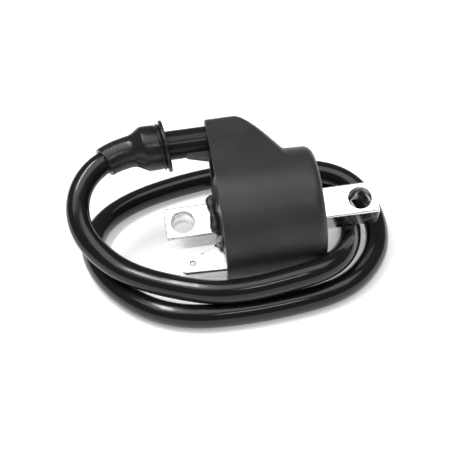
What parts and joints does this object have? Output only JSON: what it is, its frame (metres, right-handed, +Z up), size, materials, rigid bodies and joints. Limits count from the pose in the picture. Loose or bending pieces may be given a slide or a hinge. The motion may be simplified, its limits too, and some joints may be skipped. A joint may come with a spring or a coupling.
{
  "type": "ignition coil with high-tension lead",
  "caption": "Small-engine ignition coil: potted cup with a lead tower, laminated core bar with end bolt holes, push-on primary tab, and a rubber-booted high-tension lead coiled round the body.",
  "frame": {"origin": "centre, on the surface it lies on, of the box round the coil body, its core bar, tab and outlet tube, without the lead and its boot", "axes": "+X along the core bar, towards the cup's closed end; +Z up from the surface it lies on; +Y away from the side the bolt holes face, so the tower leans back towards +Y"},
  "size_m": [0.0941, 0.071, 0.038],
  "materials": {
    "housing_plastic": "fine matte",
    "potting_resin": "poured gloss",
    "core_steel": "ground laminations",
    "wrap_film": "amber film",
    "former_plastic": "satin",
    "secondary_former_plastic": "satin",
    "magnet_wire": "enamelled copper",
    "tape": "satin film",
    "contact_brass": "turned",
    "tube_plastic": "semi-gloss",
    "tinned_sheet": "tin plated",
    "solder": "satin",
    "boot_rubber": "satin",
    "lead_jacket": "glossy",
    "conductor_copper": "stranded copper"
  },
  "bodies": {
    "root": {"housing_shell": "housing_plastic", "potting_resin": "potting_resin", "core_bar": "core_steel", "core_wrap": "wrap_film", "primary_bobbin": "former_plastic", "primary_winding": "magnet_wire", "primary_tape": "tape", "secondary_bobbin": "secondary_former_plastic", "secondary_winding_1": "magnet_wire", "secondary_winding_2": "magnet_wire", "secondary_winding_3": "magnet_wire", "secondary_winding_4": "magnet_wire", "secondary_winding_5": "magnet_wire", "ht_contact": "contact_brass", "ht_link_wire": "magnet_wire", "ht_outlet_tube": "tube_plastic", "spade_terminal": "tinned_sheet", "spade_solder": "solder", "primary_feed_wire": "magnet_wire", "earth_wire": "magnet_wire", "earth_solder": "solder", "rubber_boot": "boot_rubber", "ht_lead": "lead_jacket", "lead_conductor": "conductor_copper"}
  },
  "joints": []
}
